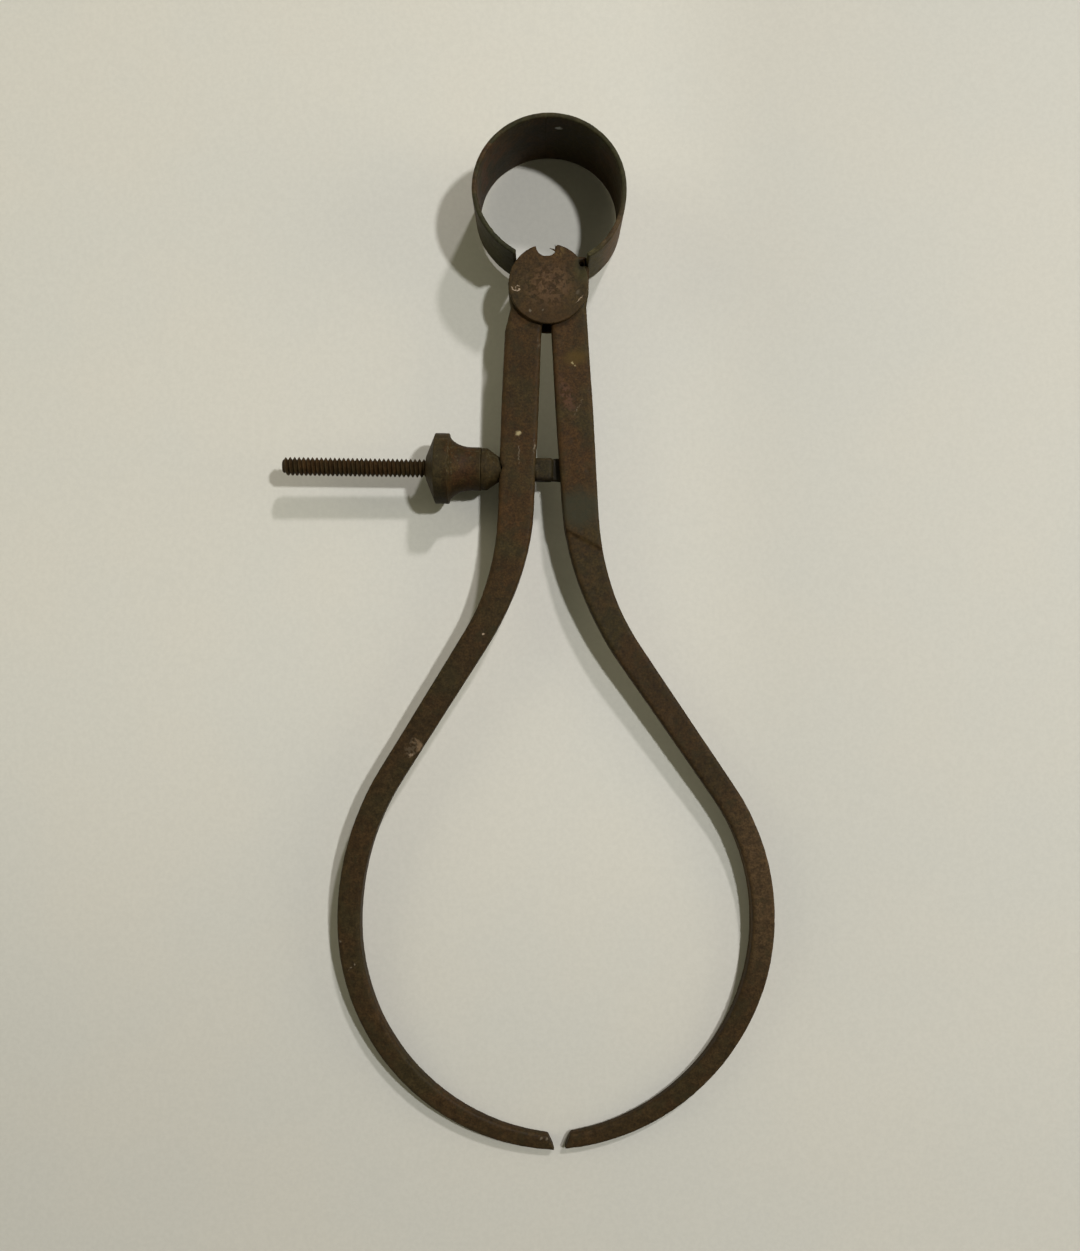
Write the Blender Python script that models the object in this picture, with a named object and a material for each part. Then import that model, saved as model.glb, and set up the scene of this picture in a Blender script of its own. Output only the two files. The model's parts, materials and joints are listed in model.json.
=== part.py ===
# Old outside caliper: two bowed legs that rock on a stud between two discs, held
# open by a ring of spring steel and set by a swivelling screw with a flared nut.
#
# It is built flat in its own working frame: the stud is on Z, the bow spring is
# towards +Y and the tips towards -Y. An empty then lays it on the table.

from math import atan2, cos, degrees, pi, radians, sin, sqrt, tan

import bmesh
import bpy
from mathutils import Matrix, Vector

MM = 0.001

# Clearances
FIT_GAP = 0.20 * MM             # round a stud, a pin or a thread
SEAT_GAP = 0.30 * MM            # between faces that bear on each other

# Fulcrum stud and its two discs
STUD_RADIUS = 2.6 * MM
STUD_PROUD = 0.12 * MM          # riveted end, above the disc's face
STUD_CHAMFER = 0.25 * MM
DISC_RADIUS = 7.00 * MM
DISC_THICKNESS = 0.80 * MM
DISC_EDGE = 0.12 * MM           # worn rim
BITE_RADIUS = 1.92 * MM         # piece broken out of the front disc
BITE_OVER_RIM = 0.27 * MM       # centre of the bite, inside the rim
BITE_SHIFT = -0.20 * MM         # and to the right of the stud
BITE_SIDE = 1.59 * MM           # steep right side of the bite, from its centre
BITE_LOBE = 0.45 * MM           # rounding where that side meets the rim

# Legs, measured from the stud
LEG_THICKNESS = 4.9 * MM
LEG_START = 8.0 * MM            # where the head ends and the bar begins

# Width of a bar, and its thickness as a share of the full one, at distances along it
LEG_WIDTHS = ((0.0, 6.4 * MM), (14.0 * MM, 6.6 * MM), (34.0 * MM, 6.25 * MM),
              (50.0 * MM, 4.95 * MM), (75.0 * MM, 4.5 * MM), (105.0 * MM, 4.15 * MM),
              (125.0 * MM, 3.9 * MM), (150.0 * MM, 3.4 * MM), (171.0 * MM, 2.65 * MM))
LEG_HEIGHTS = ((0.0, 1.0), (45.0 * MM, 0.97), (80.0 * MM, 0.88), (112.0 * MM, 0.80),
               (130.0 * MM, 0.62), (150.0 * MM, 0.49), (171.0 * MM, 0.42))
LEG_EDGE = 0.55 * MM            # rounding of the bar's long edges
TIP_SLANT = 0.22 * MM           # how far the end face leans, each side
STATION_PITCH = 2.4 * MM        # along the bar

# Each bar, from the head down: a straight neck, a bow outwards, a straight flare, and
# the jaw that bends in to the tip. Headings and turns are in degrees.
RIGHT_START_X = 3.67 * MM
RIGHT_HEADING = 2.62
RIGHT_NECK = 31.3 * MM
RIGHT_BOW_RADIUS = 51.5 * MM
RIGHT_BOW_TURN = 30.84
RIGHT_FLARE = 29.7 * MM
RIGHT_JAW_RADIUS = 39.86 * MM
RIGHT_JAW_TURN = 117.0
LEFT_START_X = 4.60 * MM
LEFT_HEADING = 3.11
LEFT_NECK = 31.1 * MM
LEFT_BOW_RADIUS = 47.6 * MM
LEFT_BOW_TURN = 29.69
LEFT_FLARE = 28.4 * MM
LEFT_ELBOW_RADIUS = 48.6 * MM   # the left jaw starts with a slower bend
LEFT_ELBOW_TURN = 36.2
LEFT_JAW_RADIUS = 39.0 * MM
LEFT_JAW_TURN = 81.2

# Lap step across the front of the right leg
LAP_DISTANCE = 36.9 * MM        # along the bar, at its middle
LAP_SKEW = 2.35 * MM            # half of the lap's slant along the bar
LAP_FADE = 18.0 * MM            # the slant has died away this far from the step
LAP_STEP = 0.30 * MM
LAP_RAMP = 0.25 * MM

# Heads, above and beside the stud
HEAD_TOP = 5.0 * MM
HEAD_OPEN_ANGLE = 22.0          # slope of the inner faces, so that the legs can swing
HEAD_INNER_GAP = 0.11 * MM
HEAD_TOP_OUTER = 4.4 * MM
HEAD_LEDGE = 0.50 * MM          # lip outside the spring's end
HEAD_LEDGE_FALL = 0.05 * MM
RIGHT_LIP = 0.95 * MM           # lip inside the spring's end, on the right head only
LEFT_LIP = 0.0
FLANK_HEIGHTS = (0.6 * MM, -1.2 * MM, -3.6 * MM)
RIGHT_FLANK = (7.15 * MM, 7.10 * MM, 6.65 * MM)
LEFT_FLANK = (7.10 * MM, 7.05 * MM, 6.70 * MM)

# Bow spring
BOW_RADIUS = 12.90 * MM         # at mid thickness
BOW_FLATTENING = 0.941          # height of the ring over its width
BOW_RISE = 15.13 * MM           # its centre above the stud
BOW_SHIFT = 0.30 * MM           # its centre right of the stud
BOW_LEAN = 1.10 * MM            # its lower part is sprung to the right
BOW_SAG = 0.35 * MM             # and down
BOW_LEAN_GROWTH = 1.5           # how fast both grow below the centre
BOW_THICKNESS = 0.87 * MM
BOW_BAND = 7.42 * MM            # half width of the band, level with the ring's centre
BOW_BAND_TAPER = 0.97 * MM      # more at the crown and less at the ends
RIGHT_BOW_REACH = 0.85 * MM     # the ends stand this far outside the discs
LEFT_BOW_REACH = 0.33 * MM
BOW_EDGE = 0.15 * MM
BOW_STEPS = 84

# Swivel screw
SCREW_DROP = 32.4 * MM          # pivot below the stud
SCREW_TILT = 1.7                # degrees off square, as it was left
SCREW_LENGTH = 52.5 * MM        # pivot to free end
THREAD_RADIUS = 1.65 * MM
THREAD_END = 0.5 * MM           # rounding of the free end
EYE_RADIUS = 2.25 * MM          # the flattened tongue is as wide as its eye
EYE_HALF_HEIGHT = 0.55 * MM
EYE_EDGE = 0.30 * MM
SHANK_START = 4.45 * MM         # shoulder, just outside the leg
SHANK_LENGTH = 7.9 * MM         # pivot to the start of the thread
SHANK_HALF_WIDTH = 2.05 * MM
SHANK_HALF_HEIGHT = 1.45 * MM
SHANK_EDGE = 0.60 * MM
PIN_RADIUS = 0.9 * MM
PIN_CHAMFER = 0.15 * MM
SWING = 20.0                    # degrees that each leg opens

# Notch that is filed in the front of the left leg, over the cone
NOTCH_DEPTH = 0.50 * MM
NOTCH_HALF_WIDTH = 1.05 * MM
NOTCH_FLOOR = 1.0 * MM          # its height above the screw

# Cone washer and flared nut, lengths along the screw
NOSE_RADIUS = 1.97 * MM
NOSE_STAND_OFF = 0.22 * MM      # from the leg's edge to the nose
CONE_ANGLE = 41.0
WASHER_RADIUS = 3.74 * MM
WASHER_BARREL = 0.81 * MM
NUT_BODY_RADIUS = 3.84 * MM
NUT_RIM_RADIUS = 6.24 * MM
NUT_BARREL = 1.60 * MM
NUT_FLARE = 4.10 * MM
NUT_RIM = 2.40 * MM
NUT_FACE = 1.70 * MM
NUT_FACE_RADIUS = 2.2 * MM      # flat ring round the thread

QUARTER = 90.0                  # degrees
RUST_BROWN = (0.105, 0.062, 0.042)

for leftover in list(bpy.data.objects):
    bpy.data.objects.remove(leftover, do_unlink=True)


# General helpers

def rusty(name, shift=1.0, roughness=0.62, metallic=0.55):
    material = bpy.data.materials.new(name)
    material.use_nodes = True
    shader = material.node_tree.nodes["Principled BSDF"]
    red, green, blue = (channel * shift for channel in RUST_BROWN)
    shader.inputs["Base Color"].default_value = (red, green, blue, 1.0)
    shader.inputs["Roughness"].default_value = roughness
    shader.inputs["Metallic"].default_value = metallic
    return material


def add_piece(name, bm, material=None, parent=None, place=None):
    bmesh.ops.recalc_face_normals(bm, faces=bm.faces)
    mesh = bpy.data.meshes.new(name)
    bm.to_mesh(mesh)
    bm.free()
    mesh.shade_smooth()
    mesh.set_sharp_from_angle(angle=radians(50))
    piece = bpy.data.objects.new(name, mesh)
    bpy.context.collection.objects.link(piece)
    if material:
        mesh.materials.append(material)
    if parent:
        piece.parent = parent
    if place:
        piece.matrix_local = place
    return piece


def cut(piece, cutter, operation="DIFFERENCE"):
    cutter.display_type = "WIRE"
    cutter.hide_render = True
    cutter.parent = piece
    boolean = piece.modifiers.new(cutter.name, "BOOLEAN")
    boolean.operation = operation
    boolean.solver = "EXACT"
    boolean.object = cutter


def loft(rings):
    """Skin a list of equal rings of points, with a cap at each end."""
    bm = bmesh.new()
    loops = [[bm.verts.new(point) for point in ring] for ring in rings]
    count = len(loops[0])
    for first, second in zip(loops, loops[1:]):
        for i in range(count):
            j = (i + 1) % count
            bm.faces.new((first[i], first[j], second[j], second[i]))
    bm.faces.new(loops[0])
    bm.faces.new(loops[-1])
    return bm


def prism(outline, low, high):
    return loft([[(x, y, z) for x, y in outline] for z in (low, high)])


def revolve(profile, axis, steps):
    """Spin a closed profile of (distance along the axis, radius) through a full turn."""
    bm = bmesh.new()
    along, out = Vector(axis), Vector(axis).orthogonal().normalized()
    ring = [bm.verts.new(along * a + out * r) for a, r in profile]
    edges = [bm.edges.new(pair) for pair in zip(ring, ring[1:])]
    if profile[0][1] > 0:
        edges.append(bm.edges.new((ring[-1], ring[0])))
    bmesh.ops.spin(bm, geom=ring + edges, cent=(0, 0, 0), axis=along, angle=2 * pi,
                   steps=steps, use_merge=True)
    bmesh.ops.remove_doubles(bm, verts=bm.verts, dist=1e-7)
    return bm


def round_cutter(name, radius, place=None):
    """Plain cylinder on Z, long enough to cut right through a leg."""
    profile = [(-LEG_THICKNESS, 0), (-LEG_THICKNESS, radius),
               (LEG_THICKNESS, radius), (LEG_THICKNESS, 0)]
    cylinder = revolve(profile, (0, 0, 1), 64)
    if place:
        bmesh.ops.translate(cylinder, vec=place, verts=cylinder.verts)
    return add_piece(name, cylinder)


def arc(centre, radius, start, end, steps):
    """Points of an arc, angles in degrees."""
    angles = [radians(start + (end - start) * i / steps) for i in range(steps + 1)]
    return [(centre[0] + radius * cos(a), centre[1] + radius * sin(a)) for a in angles]


def interpolate(table, position):
    for (p0, v0), (p1, v1) in zip(table, table[1:]):
        if position <= p1:
            return v0 + (v1 - v0) * max(0.0, position - p0) / (p1 - p0)
    return table[-1][1]


# Rest pose and materials

rest_pose = bpy.data.objects.new("rest_pose", None)
bpy.context.collection.objects.link(rest_pose)

HALF_LEG = LEG_THICKNESS / 2
DISC_FLOOR = HALF_LEG + FIT_GAP
DISC_FACE = DISC_FLOOR + DISC_THICKNESS


# Fulcrum stud and discs

def build_stud():
    top = DISC_FACE + STUD_PROUD
    rim = STUD_RADIUS - STUD_CHAMFER
    profile = [(-top, 0), (-top, rim), (-top + STUD_CHAMFER, STUD_RADIUS),
               (top - STUD_CHAMFER, STUD_RADIUS), (top, rim), (top, 0)]
    stud = revolve(profile, (0, 0, 1), 64)
    return add_piece("fulcrum_stud", stud, rusty("stud_rust", 1.15), rest_pose)


def build_disc(name, side, material):
    low, high = sorted((side * DISC_FLOOR, side * DISC_FACE))
    bore, rim, inner = STUD_RADIUS + FIT_GAP, DISC_RADIUS, DISC_RADIUS - DISC_EDGE
    profile = [(low, bore), (low, inner), (low + DISC_EDGE, rim),
               (high - DISC_EDGE, rim), (high, inner), (high, bore)]
    return add_piece(name, revolve(profile, (0, 0, 1), 96), material, rest_pose)


def bite_outline():
    """Round bite from the left, with a steep right side that rolls over into the rim."""
    centre = (BITE_SHIFT, DISC_RADIUS - BITE_OVER_RIM)
    floor_angle = -degrees(atan2(sqrt(BITE_RADIUS ** 2 - BITE_SIDE ** 2), BITE_SIDE))
    top = DISC_RADIUS + BITE_RADIUS
    lobe = BITE_SHIFT + BITE_SIDE + BITE_LOBE
    rim_height = sqrt(DISC_RADIUS ** 2 - lobe ** 2)
    outline = arc(centre, BITE_RADIUS, -180, floor_angle, 20)
    outline += arc((lobe, rim_height - BITE_LOBE), BITE_LOBE, 180, 90, 5)
    outline += [(lobe, top), (BITE_SHIFT - BITE_RADIUS, top)]
    return outline


stud = build_stud()
front_disc = build_disc("front_disc", 1, rusty("front_disc_rust", 1.1))
back_disc = build_disc("back_disc", -1, rusty("back_disc_rust", 0.9))
cut(front_disc, add_piece("bite_cutter", prism(bite_outline(), HALF_LEG, 2 * DISC_FACE)))


# Bow spring: an ellipse in plan whose lower part leans to the right, in a band that
# narrows towards its ends

def bow_point(angle, offset=0.0):
    """Point of the ring at an angle, moved outwards from mid thickness by an offset."""
    a, b = BOW_RADIUS, BOW_RADIUS * BOW_FLATTENING
    depth = max(0.0, -sin(angle))
    share = depth ** BOW_LEAN_GROWTH
    rate = -cos(angle) * BOW_LEAN_GROWTH * depth ** (BOW_LEAN_GROWTH - 1)
    way_x = BOW_LEAN * rate - a * sin(angle)
    way_y = b * cos(angle) - BOW_SAG * rate
    normal = Vector((way_y, -way_x)).normalized()
    centre = Vector((BOW_SHIFT + BOW_LEAN * share, BOW_RISE - BOW_SAG * share))
    return centre + Vector((a * cos(angle), b * sin(angle))) + normal * offset, normal


def bow_half_band(angle):
    return BOW_BAND + BOW_BAND_TAPER * sin(angle)


def bow_end_angle(side):
    """Angle at which the ring reaches its seat on a head, found by halving."""
    reach = DISC_RADIUS + (RIGHT_BOW_REACH if side > 0 else LEFT_BOW_REACH)
    high = 0.0 if side > 0 else pi
    low = -pi / 2 if side > 0 else 3 * pi / 2
    for _ in range(50):
        middle = (low + high) / 2
        if bow_point(middle)[0].length > reach:
            high = middle
        else:
            low = middle
    return high


def bow_section(angle):
    _, normal = bow_point(angle)
    wall, band = BOW_THICKNESS / 2, bow_half_band(angle)
    corners = ((wall, band), (-wall, band), (-wall, -band), (wall, -band))
    ring = []
    for out, z in corners:
        toward_out = BOW_EDGE if out < 0 else -BOW_EDGE
        toward_z = BOW_EDGE if z < 0 else -BOW_EDGE
        trims = [(0, toward_z), (toward_out, 0)]
        if out * z < 0:
            trims.reverse()
        for trim_out, trim_z in trims:
            point, _ = bow_point(angle, out + trim_out)
            ring.append((point.x, point.y, z + trim_z))
    return ring


def build_bow():
    start, end = bow_end_angle(1), bow_end_angle(-1)
    angles = [start + (end - start) * i / BOW_STEPS for i in range(BOW_STEPS + 1)]
    bm = loft([bow_section(angle) for angle in angles])
    return add_piece("bow_spring", bm, rusty("spring_rust", 0.9, 0.5, 0.7), rest_pose)


bow_spring = build_bow()


# Legs. A station is one cross-section, given by its inner and outer points in plan
# and its underside and face heights. The left leg is drawn on +X and then mirrored.

def bar_path(start_x, heading, runs):
    """Points, headings and distances along the middle of a bar, tip last.

    A run is its length and 0 where it is straight, or else its radius and its turn.
    """
    x, y, turn, gone = start_x, -LEG_START, radians(heading), 0.0
    path = [(x, y, turn, gone)]
    for size, degrees_turned in runs:
        bend = radians(degrees_turned)
        length = size * (abs(bend) if bend else 1.0)
        steps = max(2, round(length / STATION_PITCH))
        for _ in range(steps):
            turn += bend / steps / 2
            x += sin(turn) * length / steps
            y -= cos(turn) * length / steps
            turn += bend / steps / 2
            gone += length / steps
            path.append((x, y, turn, gone))
    return path


def path_at(path, distance):
    for (x0, y0, t0, s0), (x1, y1, t1, s1) in zip(path, path[1:]):
        if distance <= s1 or s1 == path[-1][3]:
            share = (distance - s0) / (s1 - s0)
            return x0 + (x1 - x0) * share, y0 + (y1 - y0) * share, t0 + (t1 - t0) * share


def bar_edge(path, distance, side):
    """Plan point on the outer (side 1) or inner (side -1) edge of a bar."""
    x, y, turn = path_at(path, distance)
    half = side * interpolate(LEG_WIDTHS, distance) / 2
    return Vector((x + cos(turn) * half, y + sin(turn) * half))


def bar_station(path, distance, skew, face_drop):
    height = HALF_LEG * interpolate(LEG_HEIGHTS, distance)
    return (bar_edge(path, distance - skew, -1), bar_edge(path, distance + skew, 1),
            -height, height - face_drop)


def bar_stations(path, lap):
    end = path[-1][3]
    distances = [gone for _, _, _, gone in path[1:-1]]
    if lap:
        near = LAP_SKEW + STATION_PITCH / 2
        distances = [d for d in distances if abs(d - LAP_DISTANCE) > near / 2]
        distances += [LAP_DISTANCE, LAP_DISTANCE + LAP_RAMP]
    stations = [bar_station(path, 0.0, 0.0, 0.0)]
    for distance in sorted(distances):
        skew, drop = 0.0, 0.0
        if lap:
            fade = max(0.0, 1 - abs(distance - LAP_DISTANCE) / LAP_FADE)
            skew = LAP_SKEW * fade
            if distance > LAP_DISTANCE:
                drop = LAP_STEP * (1 - (distance - LAP_DISTANCE) / (end - LAP_DISTANCE))
        stations.append(bar_station(path, distance, skew, drop))
    stations.append(bar_station(path, end - TIP_SLANT, TIP_SLANT, 0.0))
    return stations


def head_stations(side, flank, lip, bar_start):
    """Sections of the head, from its top down to the bar, at constant heights in plan."""
    angle = bow_end_angle(side)
    end, normal = bow_point(angle)
    mirror = Vector((side, 1))
    end, normal = end * mirror, normal * mirror
    along = Vector((-abs(normal.y), -abs(normal.x)))
    seat = end + along * SEAT_GAP
    half_seat = BOW_THICKNESS / 2 + SEAT_GAP
    seat_top = seat - normal * (BOW_THICKNESS / 2)
    seat_foot = seat + normal * half_seat
    ledge = seat_foot + Vector((HEAD_LEDGE, -HEAD_LEDGE_FALL))
    if lip:
        lip_root = end - normal * half_seat
        outer = [lip_root - along * lip, lip_root]
    else:
        outer = [Vector((HEAD_TOP_OUTER, HEAD_TOP))]
    outer += [seat_top, seat_foot, ledge]
    outer += [Vector((x, y)) for y, x in zip(FLANK_HEIGHTS, flank)]
    slope = tan(radians(HEAD_OPEN_ANGLE))
    stations = []
    for point in outer:
        inner_x = HEAD_INNER_GAP + max(point.y, 0.0) * slope
        if point.y < 0:
            inner_x += (bar_start.x - HEAD_INNER_GAP) * point.y / bar_start.y
        stations.append((Vector((inner_x, point.y)), point, -HALF_LEG, HALF_LEG))
    return stations


def leg_section(station, mirror):
    """Rounded rectangle between the inner and outer points of a station."""
    inner, outer, low, high = station
    across = (outer - inner).normalized()
    width = (outer - inner).length
    edge = min(LEG_EDGE, 0.3 * width, 0.3 * (high - low))
    ring = []
    corners = ((width - edge, high - edge), (edge, high - edge),
               (edge, low + edge), (width - edge, low + edge))
    for quarter, corner in enumerate(corners):
        for a, z in arc(corner, edge, quarter * QUARTER, (quarter + 1) * QUARTER, 3):
            point = inner + across * a
            ring.append((point.x * mirror, point.y, z))
    return ring


def build_leg(name, side, path, flank, lip, lap):
    bar = bar_stations(path, lap)
    stations = head_stations(side, flank, lip, bar[0][0]) + bar
    bm = loft([leg_section(station, side) for station in stations])
    leg = add_piece(name, bm, rusty(name + "_rust"), rest_pose)
    cut(leg, round_cutter(name + "_stud_seat", STUD_RADIUS + FIT_GAP))
    return leg


right_path = bar_path(RIGHT_START_X, RIGHT_HEADING, (
    (RIGHT_NECK, 0.0), (RIGHT_BOW_RADIUS, RIGHT_BOW_TURN), (RIGHT_FLARE, 0.0),
    (RIGHT_JAW_RADIUS, -RIGHT_JAW_TURN)))
left_path = bar_path(LEFT_START_X, LEFT_HEADING, (
    (LEFT_NECK, 0.0), (LEFT_BOW_RADIUS, LEFT_BOW_TURN), (LEFT_FLARE, 0.0),
    (LEFT_ELBOW_RADIUS, -LEFT_ELBOW_TURN), (LEFT_JAW_RADIUS, -LEFT_JAW_TURN)))
right_leg = build_leg("right_leg", 1, right_path, RIGHT_FLANK, RIGHT_LIP, lap=True)
left_leg = build_leg("left_leg", -1, left_path, LEFT_FLANK, LEFT_LIP, lap=False)


# Screw axis: from the pivot in the middle of the right leg, through the left leg

def distance_at_height(path, height):
    for (_, y0, _, s0), (_, y1, _, s1) in zip(path, path[1:]):
        if y1 <= height:
            return s0 + (s1 - s0) * (y0 - height) / (y0 - y1)


pivot_distance = distance_at_height(right_path, -SCREW_DROP)
pivot_x, pivot_y, _ = path_at(right_path, pivot_distance)
pivot = Vector((pivot_x, pivot_y, 0))
screw_way = Vector((-cos(radians(SCREW_TILT)), sin(radians(SCREW_TILT)), 0))


def reach_of_left_edge(side):
    """Distance from the pivot, along the screw, to an edge of the left leg."""
    near, far = (bar_edge(left_path, d, side) for d in (pivot_distance - 4 * MM,
                                                        pivot_distance + 4 * MM))
    near, far = Vector((-near.x, near.y)), Vector((-far.x, far.y))
    edge = far - near
    gap = near - pivot.xy
    return gap.cross(edge) / screw_way.xy.cross(edge)


seat_reach = reach_of_left_edge(1)
inner_reach = reach_of_left_edge(-1)
seat_point = pivot + screw_way * seat_reach


def screw_frame(distance):
    """Frame at a distance along the screw: its X axis runs towards the free end."""
    place = Matrix.Translation(pivot + screw_way * distance)
    return place @ Matrix.Rotation(atan2(screw_way.y, screw_way.x), 4, "Z")


CUT_MARGIN = 1.5 * MM           # cutters stand this far outside the faces that they open
SWING_SLOT_HALF_HEIGHT = max(SHANK_HALF_HEIGHT + SEAT_GAP, THREAD_RADIUS + FIT_GAP)
EYE_SLOT_HALF_HEIGHT = EYE_HALF_HEIGHT + SEAT_GAP


def stadium(low, high, half_height, along):
    """Slot section in a plane square to the screw, with rounded corners."""
    edge = 0.5 * half_height
    ring = []
    corners = ((high - edge, half_height - edge), (low + edge, half_height - edge),
               (low + edge, edge - half_height), (high - edge, edge - half_height))
    for quarter, corner in enumerate(corners):
        turn = arc(corner, edge, quarter * QUARTER, (quarter + 1) * QUARTER, 4)
        ring += [(along, a, b) for a, b in turn]
    return ring


def cut_left_leg():
    """Swing slot, wider inside than outside, the cone seat at its outer end, and the notch."""
    swing = tan(radians(SWING))
    depth = seat_reach - inner_reach
    outer_half = THREAD_RADIUS / cos(radians(SWING)) + SEAT_GAP
    sections = []
    for distance, outside in ((seat_reach + CUT_MARGIN, True), (seat_reach, True),
                              (inner_reach, False), (inner_reach - CUT_MARGIN, False)):
        if outside:
            low, high = -outer_half, outer_half
        else:
            low = -SHANK_HALF_WIDTH - SEAT_GAP
            high = outer_half + (depth + (inner_reach - distance)) * swing
        section = stadium(-high, -low, SWING_SLOT_HALF_HEIGHT, 0)
        sections.append([screw_frame(distance) @ Vector(point) for point in section])
    cut(left_leg, add_piece("screw_slot", loft(sections)))
    slope = tan(radians(CONE_ANGLE))
    mouth = NOSE_RADIUS + SEAT_GAP / cos(radians(CONE_ANGLE))
    profile = [(-mouth / slope, 0), (CUT_MARGIN, mouth + CUT_MARGIN * slope),
               (CUT_MARGIN, 0)]
    cone = revolve(profile, (1, 0, 0), 64)
    bmesh.ops.transform(cone, matrix=screw_frame(seat_reach), verts=cone.verts)
    cut(left_leg, add_piece("cone_seat", cone))
    mouth = NOTCH_HALF_WIDTH * (1 + CUT_MARGIN / NOTCH_DEPTH)
    plan = [(-NOTCH_DEPTH, 0), (CUT_MARGIN, -mouth), (CUT_MARGIN, mouth)]
    notch = prism(plan, NOTCH_FLOOR, LEG_THICKNESS)
    bmesh.ops.transform(notch, matrix=screw_frame(seat_reach), verts=notch.verts)
    cut(left_leg, add_piece("cone_notch", notch))


def cut_right_leg():
    """Swivel slot for the eye, round at the back, and the pin's hole."""
    back = EYE_RADIUS + SEAT_GAP
    swing = radians(SWING)
    mouth = pivot.x
    low = -back
    high = back / cos(swing) + mouth * tan(swing)
    plan = arc((0, 0), back, -QUARTER, QUARTER - SWING, 16)
    plan += [(-mouth, high), (-mouth, low)]
    slot = prism(plan, -EYE_SLOT_HALF_HEIGHT, EYE_SLOT_HALF_HEIGHT)
    bmesh.ops.translate(slot, vec=pivot, verts=slot.verts)
    cut(right_leg, add_piece("eye_slot", slot))
    cut(right_leg, round_cutter("pin_hole", PIN_RADIUS + FIT_GAP, pivot))


cut_left_leg()
cut_right_leg()


# Swivel pin

def build_pin():
    end_radius = PIN_RADIUS - PIN_CHAMFER
    profile = [(-HALF_LEG, 0), (-HALF_LEG, end_radius),
               (PIN_CHAMFER - HALF_LEG, PIN_RADIUS), (HALF_LEG - PIN_CHAMFER, PIN_RADIUS),
               (HALF_LEG, end_radius), (HALF_LEG, 0)]
    pin = revolve(profile, (0, 0, 1), 32)
    return add_piece("swivel_pin", pin, rusty("pin_rust"), right_leg,
                     Matrix.Translation(pivot))


swivel_pin = build_pin()


# Adjusting screw: the flat tongue with the eye, the shank and the threaded rod, in one

def build_tongue():
    plan = arc((0, 0), EYE_RADIUS, QUARTER, 3 * QUARTER, 20)
    reach = SHANK_START + SHANK_EDGE
    plan += [(reach, -EYE_RADIUS + EYE_EDGE), (reach, EYE_RADIUS - EYE_EDGE)]
    tongue = prism(plan, -EYE_HALF_HEIGHT, EYE_HALF_HEIGHT)
    rims = [edge for edge in tongue.edges
            if abs(edge.verts[0].co.z - edge.verts[1].co.z) < 0.01 * MM]
    bmesh.ops.bevel(tongue, geom=rims, offset=EYE_EDGE, segments=2, profile=0.5,
                    affect="EDGES", material=-1, clamp_overlap=True)
    return tongue


def build_shank():
    width, height = 2 * SHANK_HALF_WIDTH, 2 * SHANK_HALF_HEIGHT
    length = SHANK_LENGTH - SHANK_START
    shank = bmesh.new()
    bmesh.ops.create_cube(shank, size=1.0)
    bmesh.ops.scale(shank, vec=(length, width, height), verts=shank.verts)
    bmesh.ops.bevel(shank, geom=shank.edges[:], offset=SHANK_EDGE, segments=4, profile=0.5,
                    affect="EDGES", material=-1, clamp_overlap=True)
    bmesh.ops.translate(shank, vec=((SHANK_START + SHANK_LENGTH) / 2, 0, 0), verts=shank.verts)
    return add_piece("shank", shank)


def build_screw():
    screw = add_piece("adjusting_screw", build_tongue(), rusty("screw_rust", 0.85, 0.5, 0.7),
                      right_leg, screw_frame(0))
    cut(screw, build_shank(), "UNION")
    start = SHANK_LENGTH - SHANK_EDGE
    profile = [(start, 0), (start, THREAD_RADIUS)]
    profile += [(SCREW_LENGTH - THREAD_END + a, THREAD_RADIUS - THREAD_END + r)
                for r, a in arc((0, 0), THREAD_END, 0, 90, 4)]
    profile += [(SCREW_LENGTH, 0)]
    cut(screw, add_piece("threaded_rod", revolve(profile, (1, 0, 0), 40)), "UNION")
    cut(screw, round_cutter("eye_hole", PIN_RADIUS + FIT_GAP))
    return screw


adjusting_screw = build_screw()


# Cone washer and flared nut, turned about the screw

BORE_RADIUS = THREAD_RADIUS + FIT_GAP


def build_washer():
    taper = (WASHER_RADIUS - NOSE_RADIUS) / tan(radians(CONE_ANGLE))
    length = taper + WASHER_BARREL
    profile = [(0, BORE_RADIUS), (0, NOSE_RADIUS), (taper, WASHER_RADIUS),
               (length, WASHER_RADIUS), (length, BORE_RADIUS)]
    washer = add_piece("cone_washer", revolve(profile, (1, 0, 0), 64),
                       rusty("washer_rust", 0.95), adjusting_screw,
                       Matrix.Translation((seat_reach + NOSE_STAND_OFF, 0, 0)))
    return washer, length


def build_nut(washer, foot):
    neck, shoulder = NUT_BARREL, NUT_BARREL + NUT_FLARE
    rise = NUT_RIM_RADIUS - NUT_BODY_RADIUS
    profile = [(0, BORE_RADIUS), (0, NUT_BODY_RADIUS), (neck, NUT_BODY_RADIUS)]
    for i in range(1, 9):
        share = i / 8
        profile.append((neck + NUT_FLARE * sin(share * pi / 2),
                        NUT_BODY_RADIUS + rise * (1 - cos(share * pi / 2))))
    rim_end = shoulder + NUT_RIM
    profile += [(rim_end, NUT_RIM_RADIUS), (rim_end + NUT_FACE, NUT_FACE_RADIUS),
                (rim_end + NUT_FACE, BORE_RADIUS)]
    return add_piece("adjusting_nut", revolve(profile, (1, 0, 0), 72),
                     rusty("nut_rust", 1.05), washer, Matrix.Translation((foot, 0, 0)))


cone_washer, washer_length = build_washer()
adjusting_nut = build_nut(cone_washer, washer_length + FIT_GAP)


# Rest on the table: the ring's lower edge, the nut's rim and a tip carry it

def lowest(points, up):
    return min(points, key=lambda point: point.dot(up))


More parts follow.
